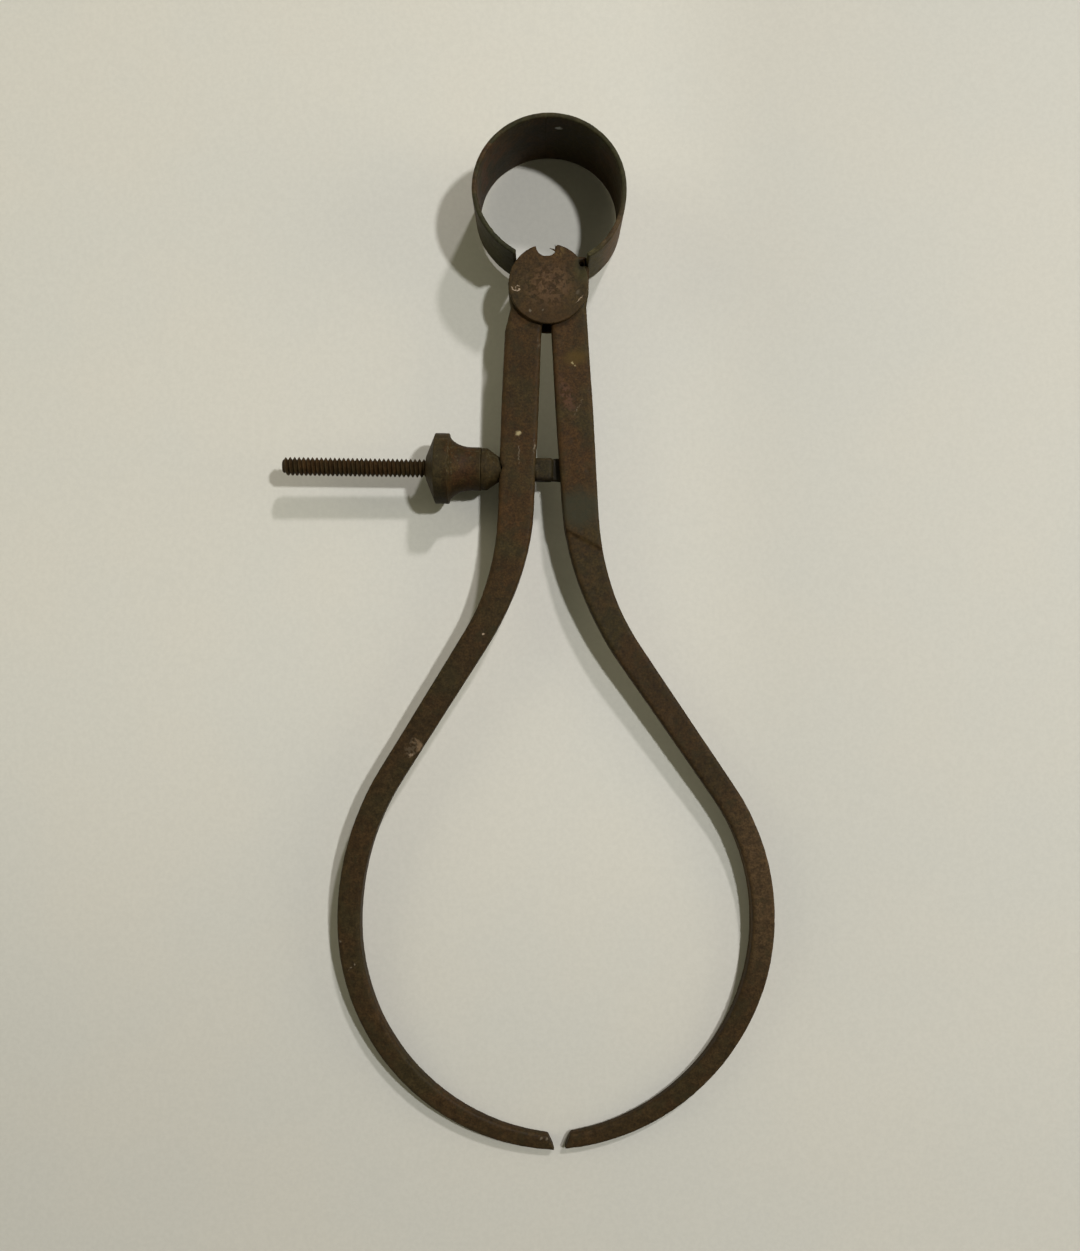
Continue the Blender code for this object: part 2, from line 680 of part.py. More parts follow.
def table_normal():
    ring = [Vector((*bow_point(radians(a), BOW_THICKNESS / 2)[0], -bow_half_band(radians(a))))
            for a in range(0, 181, 3)]
    tip_inner, tip_outer, tip_low, _ = bar_stations(right_path, True)[-1]
    tips = [Vector((*tip_inner, tip_low)), Vector((*tip_outer, tip_low))]
    rim_reach = seat_reach + NOSE_STAND_OFF + washer_length + FIT_GAP + NUT_BARREL + NUT_FLARE
    rim = pivot + screw_way * (rim_reach + NUT_RIM / 2)
    up = Vector((0, 0, 1))
    for _ in range(12):
        across = (up - screw_way * up.dot(screw_way)).normalized()
        nut_foot = rim - across * NUT_RIM_RADIUS
        ring_foot, tip_foot = lowest(ring, up), lowest(tips, up)
        up = (tip_foot - nut_foot).cross(ring_foot - nut_foot).normalized()
        if up.z < 0:
            up.negate()
    return up


rest_pose.rotation_mode = "QUATERNION"
rest_pose.rotation_quaternion = table_normal().rotation_difference(Vector((0, 0, 1)))
bpy.context.view_layer.update()
depsgraph = bpy.context.evaluated_depsgraph_get()
corners = []
for piece in list(bpy.data.objects):
    if piece.type == "MESH" and not piece.hide_render:
        evaluated = piece.evaluated_get(depsgraph)
        corners += [evaluated.matrix_world @ vertex.co for vertex in evaluated.data.vertices]
low = Vector([min(corner[i] for corner in corners) for i in range(3)])
high = Vector([max(corner[i] for corner in corners) for i in range(3)])
rest_pose.location = Vector((-(low.x + high.x) / 2, -(low.y + high.y) / 2, -low.z))
bpy.context.view_layer.update()
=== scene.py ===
# Old outside caliper, brown with rust, on a pale table and seen from straight above.
# Lengths are in metres, and the dictionaries give them in millimetres.

import json
import math

import bmesh
import bpy
from mathutils import Matrix, Vector, noise


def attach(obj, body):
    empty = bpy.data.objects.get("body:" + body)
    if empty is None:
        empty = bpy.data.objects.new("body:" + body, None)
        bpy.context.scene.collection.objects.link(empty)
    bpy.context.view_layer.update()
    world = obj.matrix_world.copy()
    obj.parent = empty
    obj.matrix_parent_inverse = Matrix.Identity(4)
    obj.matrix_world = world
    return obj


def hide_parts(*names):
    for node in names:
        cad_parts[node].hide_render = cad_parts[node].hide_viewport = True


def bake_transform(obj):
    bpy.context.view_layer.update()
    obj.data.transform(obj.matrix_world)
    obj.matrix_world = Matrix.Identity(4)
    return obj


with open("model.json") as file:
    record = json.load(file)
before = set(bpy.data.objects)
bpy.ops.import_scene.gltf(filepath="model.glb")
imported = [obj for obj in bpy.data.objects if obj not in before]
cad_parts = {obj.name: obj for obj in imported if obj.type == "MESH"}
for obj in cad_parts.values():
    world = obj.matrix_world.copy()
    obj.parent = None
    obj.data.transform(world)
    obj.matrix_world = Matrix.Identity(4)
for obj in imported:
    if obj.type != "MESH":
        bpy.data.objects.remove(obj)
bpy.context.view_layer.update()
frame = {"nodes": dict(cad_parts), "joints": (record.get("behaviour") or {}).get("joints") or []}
nodes = frame["nodes"]
joints = {joint["name"]: joint for joint in frame["joints"]}
mm = 0.001
print("frame loaded,", len(nodes), "nodes")


# The caliper lies a little tilted. Its own plan has the stud in the middle, the bow
# towards +Y and the tips towards -Y, and marks and the camera are placed in that plan.

screwTilt = 1.7                        # degrees between the screw and the plan's X

stud = Vector(joints["right_leg_swing"]["pos_m"])
up = Vector(joints["right_leg_swing"]["axis"]).normalized()
pivot = Vector(joints["screw_swivel"]["pos_m"])
screwWay = Vector(joints["washer_slide"]["axis"]).normalized()
planX = Matrix.Rotation(math.radians(screwTilt), 3, up) @ -screwWay
planY = up.cross(planX)
plan = Matrix((planX, planY, up)).transposed().to_4x4()
plan.translation = stud


def onPlan(x, y, z=0.0):
    return plan @ (Vector((x, y, z)) * mm)


# Camera, lamps and table

cameraLook = dict(
    at=(-2.33, -59.91, 193.0),         # mm in the plan, above its middle plane
    lean=0.811,                        # degrees that the plan is turned in the picture
    lens=31.14, nearest=0.005)         # the lens in mm, the nearest distance seen in metres

sideLamp = dict(size=520.0, colour=(1.0, 0.94, 0.68))
lampLook = dict(
    middle=(0.0, -60.0),               # the point on the plan that the lamps are aimed at
    lamps=(("keyLamp", dict(at=(278.0, 68.0, 592.0), size=40.0, power=2.66,
                            colour=(0.965, 0.985, 0.99))),
           ("sideLamp", dict(sideLamp, at=(740.0, 20.0, 250.0), power=1.84)),
           ("sideLamp", dict(sideLamp, at=(-620.0, 240.0, 250.0), power=1.46))),
    second=dict(way=(-0.51, -1.018, -1.0), angle=4.0, power=1.30, colour=(1.0, 0.975, 0.99)),
    roomColour=(1.0, 0.99, 0.68), roomPower=0.133,
    backdropColour=(0.58, 0.555, 0.47))

# A noise has a scale, detail, roughness and shift, and the range that becomes a mask. A
# fade is painted shade that darkens the table towards one side, where the light falls off;
# it has the plan's axis, where it starts and ends, and the share of the colour at its end.
tableLook = dict(
    width=3.0, colour=(0.584, 0.560, 0.506), patch=(0.570, 0.554, 0.508),
    clouds=dict(scale=0.025, detail=4.0, span=(0.35, 0.65)),
    speckle=dict(scale=1.2, detail=3.0, roughness=0.7, span=(0.3, 0.7)), speckleRange=(0.97, 1.02),
    paintedShadeFades=(("X", 12.0, 45.0, 0.885), ("Y", -60.0, -165.0, 0.87)),
    roughness=0.6, specular=0.2)


def addNode(tree, kind, inputs=(), **settings):
    made = tree.nodes.new(kind)
    for key, value in settings.items():
        setattr(made, key, value)
    for name, value in dict(inputs).items():
        socket = made.inputs[name]
        if isinstance(value, bpy.types.NodeSocket):
            tree.links.new(value, socket)
        else:
            socket.default_value = value
    return made


def noiseValue(tree, coords, look):
    moved = addNode(tree, "ShaderNodeVectorMath", {0: coords, 1: (look.get("shift", 0.0),) * 3},
                    operation="ADD").outputs[0]
    return addNode(tree, "ShaderNodeTexNoise",
                   {"Vector": moved, "Scale": look["scale"], "Detail": look.get("detail", 2.0),
                    "Roughness": look.get("roughness", 0.5)}).outputs["Fac"]


def ramp(tree, value, low, high, floor=0.0, top=1.0):
    return addNode(tree, "ShaderNodeMapRange",
                   {"Value": value, "From Min": low, "From Max": high, "To Min": floor,
                    "To Max": top}, interpolation_type="SMOOTHSTEP").outputs["Result"]


def noiseMask(tree, coords, look, floor=0.0, top=1.0):
    return ramp(tree, noiseValue(tree, coords, look), *look["span"], floor, top)


def calculate(tree, operation, first, second):
    return addNode(tree, "ShaderNodeMath", {0: first, 1: second}, operation=operation).outputs[0]


def mixColour(tree, factor, first, second, blend="MIX"):
    mix = addNode(tree, "ShaderNodeMix", data_type="RGBA", blend_type=blend)
    for index, value in ((0, factor), (6, first), (7, second)):
        socket = mix.inputs[index]
        if isinstance(value, bpy.types.NodeSocket):
            tree.links.new(value, socket)
        elif index:
            socket.default_value = (*value, 1.0)
        else:
            socket.default_value = value
    return mix.outputs[2]


def newMaterial(name):
    material = bpy.data.materials.new(name)
    material.use_nodes = True
    return material, material.node_tree, material.node_tree.nodes["Principled BSDF"]


def planCoords(tree):
    coords = addNode(tree, "ShaderNodeTexCoord").outputs["Object"]
    return addNode(tree, "ShaderNodeMapping",
                   {"Vector": coords, "Location": stud, "Rotation": plan.to_euler(),
                    "Scale": (mm, mm, mm)}, vector_type="TEXTURE").outputs["Vector"]


def buildCamera(look):
    data = bpy.data.cameras.new("camera")
    data.lens = look["lens"]
    data.clip_start = look["nearest"]
    camera = bpy.data.objects.new("camera", data)
    bpy.context.collection.objects.link(camera)
    picture = plan @ Matrix.Rotation(math.radians(-look["lean"]), 4, "Z")
    camera.matrix_world = Matrix.Translation(onPlan(*look["at"])) @ picture.to_3x3().to_4x4()
    bpy.context.scene.camera = camera


def addLamp(name, kind, look, aim):
    light = bpy.data.lights.new(name, kind)
    light.energy = look["power"]
    light.color = look["colour"]
    lamp = bpy.data.objects.new(name, light)
    lamp.rotation_euler = aim.to_track_quat("-Z", "Y").to_euler()
    bpy.context.collection.objects.link(lamp)
    return lamp


def buildLamps(look):
    for name, disk in look["lamps"]:
        place = onPlan(*disk["at"])
        lamp = addLamp(name, "AREA", disk, onPlan(*look["middle"]) - place)
        lamp.location = place
        lamp.data.shape = "DISK"
        lamp.data.size = disk["size"] * mm
    second = look["second"]
    sun = addLamp("secondLamp", "SUN", second, plan.to_3x3() @ Vector(second["way"]))
    sun.data.angle = math.radians(second["angle"])


def buildRoom(look):
    world = bpy.data.worlds.new("room")
    bpy.context.scene.world = world
    world.use_nodes = True
    tree = world.node_tree
    room = tree.nodes["Background"]
    room.inputs["Color"].default_value = (*look["roomColour"], 1.0)
    room.inputs["Strength"].default_value = look["roomPower"]
    backdrop = addNode(tree, "ShaderNodeBackground", {"Color": (*look["backdropColour"], 1.0)})
    rays = addNode(tree, "ShaderNodeLightPath").outputs
    seen = calculate(tree, "MAXIMUM", rays["Is Camera Ray"], rays["Is Glossy Ray"])
    seen = calculate(tree, "MAXIMUM", seen, rays["Is Transmission Ray"])
    mix = addNode(tree, "ShaderNodeMixShader", {0: seen, 1: room.outputs[0],
                                                2: backdrop.outputs[0]})
    tree.links.new(mix.outputs[0], tree.nodes["World Output"].inputs["Surface"])


def buildTable(look):
    bm = bmesh.new()
    bmesh.ops.create_grid(bm, x_segments=1, y_segments=1, size=look["width"] / 2)
    mesh = bpy.data.meshes.new("table")
    bm.to_mesh(mesh)
    bm.free()
    table = bpy.data.objects.new("table", mesh)
    bpy.context.collection.objects.link(table)
    material, tree, shader = newMaterial("paleTable")
    coords = planCoords(tree)
    colour = mixColour(tree, noiseMask(tree, coords, look["clouds"]), look["colour"], look["patch"])
    speckle = noiseMask(tree, coords, look["speckle"], *look["speckleRange"])
    colour = mixColour(tree, 1.0, colour, speckle, "MULTIPLY")
    across = addNode(tree, "ShaderNodeSeparateXYZ", {"Vector": coords}).outputs
    # painted shade: the table is darkened towards +X and -Y, where the light falls off
    paintedShadeFades = [ramp(tree, across[axis], start, end, 1.0, share)
             for axis, start, end, share in look["paintedShadeFades"]]
    colour = mixColour(tree, 1.0, colour, calculate(tree, "MINIMUM", *paintedShadeFades), "MULTIPLY")
    tree.links.new(colour, shader.inputs["Base Color"])
    shader.inputs["Roughness"].default_value = look["roughness"]
    shader.inputs["Specular IOR Level"].default_value = look["specular"]
    mesh.materials.append(material)


buildCamera(cameraLook)
buildLamps(lampLook)
buildRoom(lampLook)
buildTable(tableLook)
print("camera, lamps and table done")


# Rusted steel, with some painted light. Every finish is the same old skin in its own tint:
# large patches from brown to olive, a fine mottle, pits and paler worn edges. Of the marks of
# a piece, the deep and wide ones tint it under the mottle, and the small ones lie on top.
# Most marks are rust, scars and stains; a few are painted shade or a painted highlight, and
# say so where they stand.

skin = dict(
    wobble=dict(scale=1.3, detail=2.0), wobbleReach=0.9,
    patches=dict(scale=0.13, detail=3.0, roughness=0.55, span=(0.38, 0.62)),
    olive=dict(scale=0.09, detail=3.0, shift=31.0, span=(0.48, 0.66)),
    mottle=dict(scale=0.9, detail=5.0, roughness=0.65, shift=7.0),
    grain=dict(scale=2.6, detail=4.0, roughness=0.7, shift=3.0),
    fineSpan=(0.3, 0.7), mottleRange=(0.68, 1.30), grainRange=(0.64, 1.38), glossRange=(-0.07, 0.08),
    blotch=dict(scale=0.42, detail=4.0, roughness=0.65, shift=17.0, span=(0.52, 0.62)),
    bloom=dict(scale=0.55, detail=4.0, roughness=0.6, shift=53.0, span=(0.60, 0.72)),
    specks=dict(scale=4.2, detail=3.0, roughness=0.6, shift=71.0, span=(0.60, 0.70)), speckShare=0.38,
    pitScale=1.6, pitSpan=(0.20, 0.08), pitChoice=(0.55, 0.75), pitShare=0.55,
    wornSpan=(0.25, 0.6), wornRange=(0.3, 1.0), hollowSpan=(0.49, 0.42), hollowShare=0.7,
    grainHeight=0.5, mottleHeight=0.6, pitDepth=0.6, bumpDistance=0.05)
markSkin = dict(depth=0.9, soft=0.35, gritDetail=1.0, gritSpan=(0.42, 0.56))


def markMask(tree, coords, mark):
    strength = mark.get("strength", 1.0)
    if "slope" in mark:
        rise = addNode(tree, "ShaderNodeVectorMath", {0: coords, 1: (0.0, -mark["slope"], 1.0)},
                       operation="DOT_PRODUCT")
        return ramp(tree, rise.outputs["Value"], mark["low"], mark["high"], 0.0, strength)
    size = (*mark["size"], mark.get("depth", markSkin["depth"]))
    place = addNode(tree, "ShaderNodeMapping",
                    {"Vector": coords, "Location": mark["at"], "Scale": size,
                     "Rotation": (0, 0, math.radians(mark.get("turn", 0.0)))}, vector_type="TEXTURE")
    reach = addNode(tree, "ShaderNodeVectorMath", {0: place.outputs[0]}, operation="LENGTH")
    soft = mark.get("soft", markSkin["soft"])
    mask = ramp(tree, reach.outputs["Value"], 1.0 + soft, 1.0 - soft, 0.0, strength)
    if "broken" in mark:
        grit = dict(scale=mark["broken"], detail=markSkin["gritDetail"], shift=mark["at"][0],
                    span=markSkin["gritSpan"])
        mask = calculate(tree, "MULTIPLY", mask, noiseMask(tree, coords, grit))
    return mask


def addMarks(tree, coords, colour, marks):
    for mark in marks:
        colour = mixColour(tree, markMask(tree, coords, mark), colour, mark["colour"])
    return colour


def rustAndPaintedLightSteel(name, look, marks=()):
    material, tree, shader = newMaterial(name)
    coords = planCoords(tree)
    wobble = addNode(tree, "ShaderNodeTexNoise",
                     {"Vector": coords, "Scale": skin["wobble"]["scale"],
                      "Detail": skin["wobble"]["detail"]})
    offset = addNode(tree, "ShaderNodeVectorMath",
                     {0: wobble.outputs["Color"], 1: (0.5, 0.5, 0.5)}, operation="SUBTRACT")
    coordsRough = addNode(tree, "ShaderNodeVectorMath",
                          {0: offset.outputs[0], 1: (skin["wobbleReach"],) * 3, 2: coords},
                          operation="MULTIPLY_ADD").outputs[0]

    def layer(colour, kind, share=1.0, place=coordsRough, tint=None):
        mask = noiseMask(tree, place, skin[kind], 0.0, share)
        return mixColour(tree, mask, colour, look[tint or kind])

    def overlay(colour, value, span):
        shade = ramp(tree, value, *skin["fineSpan"], *span)
        return mixColour(tree, 1.0, colour, shade, "MULTIPLY")

    def touch(colour, mask, share, tint):
        return mixColour(tree, calculate(tree, "MULTIPLY", mask, share), colour, look[tint])

    tints = [mark for mark in marks if "slope" in mark or mark.get("depth", markSkin["depth"]) > 1]
    colour = layer(look["brown"], "patches", tint="warm")
    colour = layer(colour, "olive", look["oliveShare"])
    colour = addMarks(tree, coordsRough, colour, tints)
    mottle = noiseValue(tree, coords, skin["mottle"])
    grain = noiseValue(tree, coords, skin["grain"])
    colour = overlay(colour, mottle, skin["mottleRange"])
    colour = overlay(colour, grain, skin["grainRange"])
    colour = layer(colour, "blotch", look["blotchShare"])
    colour = layer(colour, "bloom", look["bloomShare"])
    colour = layer(colour, "specks", skin["speckShare"], coords, "bloom")

    cells = addNode(tree, "ShaderNodeTexVoronoi", {"Vector": coords, "Scale": skin["pitScale"]})
    pit = calculate(tree, "MULTIPLY", ramp(tree, cells.outputs["Distance"], *skin["pitSpan"]),
                    ramp(tree, cells.outputs["Color"], *skin["pitChoice"]))
    colour = touch(colour, pit, skin["pitShare"], "pit")

    corner = addNode(tree, "ShaderNodeNewGeometry").outputs["Pointiness"]
    worn = calculate(tree, "MULTIPLY", ramp(tree, corner, look["edgeFrom"], look["edgeTo"]),
                     ramp(tree, mottle, *skin["wornSpan"], *skin["wornRange"]))
    colour = touch(colour, worn, look["edgeShare"], "edge")
    colour = touch(colour, ramp(tree, corner, *skin["hollowSpan"]), skin["hollowShare"], "pit")

    colour = addMarks(tree, coordsRough, colour, [mark for mark in marks if mark not in tints])
    tree.links.new(colour, shader.inputs["Base Color"])
    least, most = (look["roughness"] + change for change in skin["glossRange"])
    tree.links.new(ramp(tree, mottle, *skin["fineSpan"], least, most), shader.inputs["Roughness"])
    shader.inputs["Metallic"].default_value = look["metallic"]
    shader.inputs["Specular IOR Level"].default_value = look["specular"]

    height = calculate(tree, "ADD", calculate(tree, "MULTIPLY", grain, skin["grainHeight"]),
                       calculate(tree, "MULTIPLY", mottle, skin["mottleHeight"]))
    height = calculate(tree, "SUBTRACT", height, calculate(tree, "MULTIPLY", pit, skin["pitDepth"]))
    bump = addNode(tree, "ShaderNodeBump",
                   {"Strength": look["bump"], "Distance": skin["bumpDistance"] * mm, "Height": height})
    tree.links.new(bump.outputs["Normal"], shader.inputs["Normal"])
    return material


oldSkin = dict(
    brown=(0.0310, 0.0172, 0.0060), warm=(0.0405, 0.0205, 0.0072),
    olive=(0.0298, 0.0232, 0.0086), oliveShare=0.75,
    bloom=(0.0600, 0.0395, 0.0185), bloomShare=0.35,
    pit=(0.0090, 0.0055, 0.0025), edge=(0.0270, 0.0225, 0.0095),
    edgeFrom=0.52, edgeTo=0.60, edgeShare=0.55,
    blotch=(0.0235, 0.0180, 0.0075), blotchShare=0.5,
    roughness=0.58, metallic=0.0, specular=0.08, bump=0.5)

paleScar = (0.36, 0.27, 0.19)
dullScar = (0.15, 0.12, 0.085)
tanScar = (0.150, 0.098, 0.056)

legMarks = [
    # painted shade: the lower legs are darkened, as the light falls off towards the tips; the tint is
    # also less red
    dict(at=(0.0, -112.0, 1.5), size=(62.0, 56.0), depth=9.0, colour=(0.0205, 0.0138, 0.0060),
         strength=0.5, soft=0.25),
    dict(at=(37.3, -104.0, 1.5), size=(7.0, 17.0), depth=4.0, colour=(0.0640, 0.0385, 0.0180),
         strength=0.55, soft=0.6),
    dict(at=(-5.7, -26.0, 2.4), size=(0.42, 0.38), colour=(0.30, 0.24, 0.13), soft=0.5),
    dict(at=(-5.6, -29.5, 2.4), size=(0.12, 2.7), turn=-2, colour=dullScar,
         strength=0.55, broken=1.6),
    dict(at=(-1.8, -9.9, 2.4), size=(0.30, 0.85), colour=dullScar, strength=0.35, broken=1.8),
    dict(at=(-2.9, -28.3, 2.4), size=(0.14, 1.3), turn=-5, colour=dullScar,
         strength=0.8, broken=2.5),
    dict(at=(4.6, -12.8, 2.4), size=(2.1, 1.2), turn=10, colour=(0.070, 0.044, 0.0105),
         strength=0.6, soft=0.6),
    dict(at=(4.05, -13.75, 2.4), size=(0.19, 0.17), colour=(0.36, 0.29, 0.15),
         strength=0.7, soft=0.5),
    dict(at=(4.5, -14.25, 2.4), size=(0.17, 0.20), colour=(0.36, 0.29, 0.15),
         strength=0.6, soft=0.5),
    dict(at=(3.0, -19.6, 2.4), size=(0.9, 3.2), turn=20, colour=(0.085, 0.042, 0.026), strength=0.6,
         soft=0.7, broken=1.1),
    dict(at=(5.0, -21.5, 2.4), size=(0.14, 1.5), turn=-28, colour=dullScar,
         strength=0.5, broken=2.0),
    dict(at=(6.0, -52.0, 2.3), size=(5.5, 8.0), depth=9.0, colour=(0.0235, 0.0180, 0.0078),
         strength=0.35, soft=0.7),
    dict(at=(5.1, -39.4, 2.3), size=(3.6, 3.3), turn=12, colour=(0.030, 0.030, 0.018),
         strength=0.75, soft=0.5),
    dict(at=(-24.6, -80.0, 1.9), size=(0.85, 0.42), turn=-15, colour=tanScar,
         strength=0.8, broken=1.7),
    dict(at=(-23.95, -80.9, 1.9), size=(0.34, 0.85), turn=-20, colour=tanScar,
         strength=0.9, soft=0.5),
    dict(at=(-25.2, -81.1, 1.9), size=(1.1, 1.6), turn=-25, colour=(0.072, 0.052, 0.032),
         strength=0.7, broken=1.3),
    dict(at=(-25.4, -82.4, 1.9), size=(0.70, 0.36), turn=15, colour=(0.21, 0.15, 0.10),
         strength=0.8, broken=2.6),
    dict(at=(-12.4, -61.3, 2.2), size=(0.20, 0.20), colour=paleScar, strength=0.8),
    dict(at=(-36.2, -119.6, 1.2), size=(0.16, 1.2), turn=-48, colour=dullScar,
         strength=0.9, broken=2.0),
    dict(at=(-38.4, -115.2, 1.3), size=(0.24, 0.30), colour=dullScar, strength=0.9),
    dict(at=(-3.4, -150.9, 1.0), size=(0.30, 0.2), turn=25, colour=dullScar, strength=0.55),
    dict(at=(-2.5, -151.0, 1.0), size=(0.28, 0.16), turn=30, colour=dullScar, strength=0.55),
]

discMarks = [
    dict(at=(0.0, -5.4, 3.5), size=(6.0, 2.2), colour=(0.0310, 0.0180, 0.0065),
         strength=0.5, soft=0.6),
    dict(at=(0.1, -0.2, 3.5), size=(3.4, 3.0), colour=(0.094, 0.054, 0.027),
         strength=0.85, soft=0.7, broken=1.1),
    dict(at=(-0.1, 0.3, 3.5), size=(2.7, 2.5), colour=(0.022, 0.011, 0.005), strength=0.4, soft=0.6,
         broken=1.9),
    dict(at=(-6.30, -0.72, 3.5), size=(0.11, 0.30), turn=25, colour=paleScar, strength=0.7),
    dict(at=(-5.95, -1.12, 3.5), size=(0.30, 0.10), turn=-12, colour=paleScar, strength=0.85),
    dict(at=(-5.32, -1.08, 3.5), size=(0.28, 0.14), turn=30, colour=paleScar,
         strength=0.85, broken=3.0),
    dict(at=(-5.25, -0.45, 3.5), size=(0.26, 0.10), turn=-35, colour=paleScar, strength=0.6),
    dict(at=(-5.75, -0.60, 3.5), size=(0.12, 0.18), turn=-30, colour=paleScar, strength=0.45),
    dict(at=(5.42, -2.85, 3.5), size=(0.05, 0.80), turn=-53, colour=paleScar,
         strength=0.85, soft=0.5),
    dict(at=(5.15, -1.6, 3.5), size=(0.35, 0.35), colour=dullScar, strength=0.3, soft=0.6),
    dict(at=(-3.2, -4.7, 3.5), size=(0.24, 0.24), colour=dullScar, strength=0.75, soft=0.6),
    dict(at=(-1.1, -4.75, 3.5), size=(0.20, 0.20), colour=dullScar, strength=0.45, soft=0.6),
    dict(at=(2.0, 5.6, 3.5), size=(0.75, 0.9), colour=(0.105, 0.064, 0.021), strength=0.7, soft=0.6,
         broken=1.4),
    dict(at=(6.4, 2.8, 3.5), size=(1.6, 2.5), colour=(0.047, 0.0415, 0.0180),
         strength=0.75, soft=0.5),
    # painted shade: near black round the eaten hole in the disc's rim, by the spring's end
    dict(at=(5.92, 3.3, 3.5), size=(0.80, 1.10), colour=(0.009, 0.007, 0.0035),
         strength=0.85, soft=0.6),
]

springMarks = [
    dict(slope=0.08, low=5.85, high=6.15, colour=(0.0250, 0.0250, 0.0115), strength=0.65),
    dict(at=(2.15, 26.45, 4.4), size=(0.55, 0.8), depth=0.50, colour=(0.42, 0.41, 0.38),
         strength=0.95, soft=0.5),
    dict(at=(-11.0, 19.5, 2.0), size=(5.0, 6.0), depth=9.0, colour=(0.064, 0.030, 0.0145),
         strength=0.8, soft=0.6, broken=0.35),
    dict(at=(-9.6, 7.6, 0.0), size=(4.8, 4.8), depth=9.0, colour=(0.0265, 0.0275, 0.0140),
         strength=0.7, soft=0.4),
    # painted shade: the left strip's end turns near black where it meets the disc and head
    dict(at=(-6.2, 4.6, 0.0), size=(1.6, 1.8), depth=9.0, colour=(0.0120, 0.0120, 0.0065),
         strength=0.7, soft=0.6),
    dict(at=(11.6, 8.0, 1.0), size=(3.6, 4.2), depth=9.0, colour=(0.090, 0.052, 0.027),
         strength=0.7, soft=0.6),
    dict(at=(7.8, 3.8, 0.0), size=(2.8, 2.4), depth=9.0, colour=(0.056, 0.046, 0.0195),
         strength=0.8, soft=0.5),
]

screwMarks = [
    dict(at=(-0.9, -31.8, 2.0), size=(2.6, 1.7), depth=2.2, colour=(0.0205, 0.0165, 0.0075),
         strength=0.7, soft=0.5),
    # painted shadow: the tongue beside the right leg is near black, where the leg shades it
    dict(at=(0.95, -32.3, 0.0), size=(0.70, 3.2), colour=(0.006, 0.0045, 0.002),
         strength=0.9, soft=0.25),
    # painted shade: the lower side of the shank is darkened
    dict(at=(-0.2, -34.15, 0.9), size=(5.0, 0.75), depth=1.6, colour=(0.007, 0.005, 0.0025),
         strength=0.8, soft=0.5),
]

nutMarks = [
    dict(at=(-20.2, -32.3, 0.0), size=(1.9, 9.0), depth=9.0, colour=(0.0290, 0.0235, 0.0108),
         strength=0.6, soft=0.25),
    # partly a worn edge and partly a painted highlight: a pale line on the upper part of the flange's
    # edge
    dict(at=(-17.9, -30.6, 4.0), size=(0.16, 2.8), depth=9.0, colour=(0.0900, 0.0720, 0.0420),
         strength=0.6, broken=1.2),
    dict(at=(-15.4, -32.3, 0.0), size=(2.2, 9.0), depth=9.0, colour=(0.0370, 0.0165, 0.0070),
         strength=0.6, soft=0.5, broken=0.5),
    dict(at=(-10.6, -32.3, 0.0), size=(2.8, 9.0), depth=9.0, colour=(0.0250, 0.0188, 0.0074),
         strength=0.55, soft=0.4),
    # painted shade: the lower side of the nut and flange is darkened
    dict(at=(-18.0, -38.6, 0.0), size=(9.0, 3.2), depth=9.0, colour=(0.0100, 0.0085, 0.0040),
         strength=0.55, soft=0.5),
]

finishes = dict(
    leg_steel=rustAndPaintedLightSteel("legRustAndPaintedShade", oldSkin, legMarks),
    fulcrum_steel=rustAndPaintedLightSteel("fulcrumRustAndPaintedShade", dict(
        oldSkin, brown=(0.0370, 0.0218, 0.0085), warm=(0.0475, 0.0255, 0.0098),
        oliveShare=0.55, bloomShare=0.45, blotchShare=0.28), discMarks),
    spring_steel=rustAndPaintedLightSteel("springRustAndPaintedShade", dict(
        oldSkin, brown=(0.0320, 0.0250, 0.0135), warm=(0.0440, 0.0270, 0.0125),
        oliveShare=0.9, bloomShare=0.2, edge=(0.0360, 0.0385, 0.0170), edgeShare=0.85), springMarks),
    screw_steel=rustAndPaintedLightSteel("screwRustAndPaintedShade", dict(
        oldSkin, brown=(0.0250, 0.0135, 0.0046), warm=(0.0360, 0.0178, 0.0060),
        oliveShare=0.6, bloomShare=0.4, edge=(0.0480, 0.0370, 0.0190), edgeShare=0.7), screwMarks),
    nut_steel=rustAndPaintedLightSteel("nutRustShadeAndHighlight", dict(
        oldSkin, brown=(0.0265, 0.0155, 0.0054), warm=(0.0350, 0.0185, 0.0062),
        oliveShare=0.8, bloomShare=0.3, edge=(0.0500, 0.0420, 0.0230), edgeShare=0.8), nutMarks))
print("finishes done,", len(finishes))


# Fine copies. The model's solid is remeshed at a fine pitch and its skin is weathered:
# slow dents from the hammer and the file, small scale, and sparse pits.

oldSurface = dict(
    dent=0.030, dentSize=7.0, scale=0.016, scaleSize=0.9, scaleFractal=(0.8, 2.1, 3),
    pit=0.055, pitSize=1.5, pitShare=0.35, pitReach=0.32, pitDraw=9.7)
smoothShare = 0.5
weld = 1e-6                            # in metres
weldTurned = 1e-4                      # in millimetres, for what is turned before it is placed


def pieceFrom(name, bm):
    mesh = bpy.data.meshes.new(name)
    bm.to_mesh(mesh)
    bm.free()
    piece = bpy.data.objects.new(name, mesh)
    bpy.context.collection.objects.link(piece)
    return piece


def applyModifiers(piece):
    seen = piece.evaluated_get(bpy.context.evaluated_depsgraph_get())
    mesh = bpy.data.meshes.new_from_object(seen)
    piece.modifiers.clear()
    piece.data = mesh
    return piece


def combine(piece, tool, operation):
    step = piece.modifiers.new("combine", "BOOLEAN")
    step.operation = operation
    step.solver = "EXACT"
    step.object = tool
    applyModifiers(piece)
    bpy.data.objects.remove(tool)


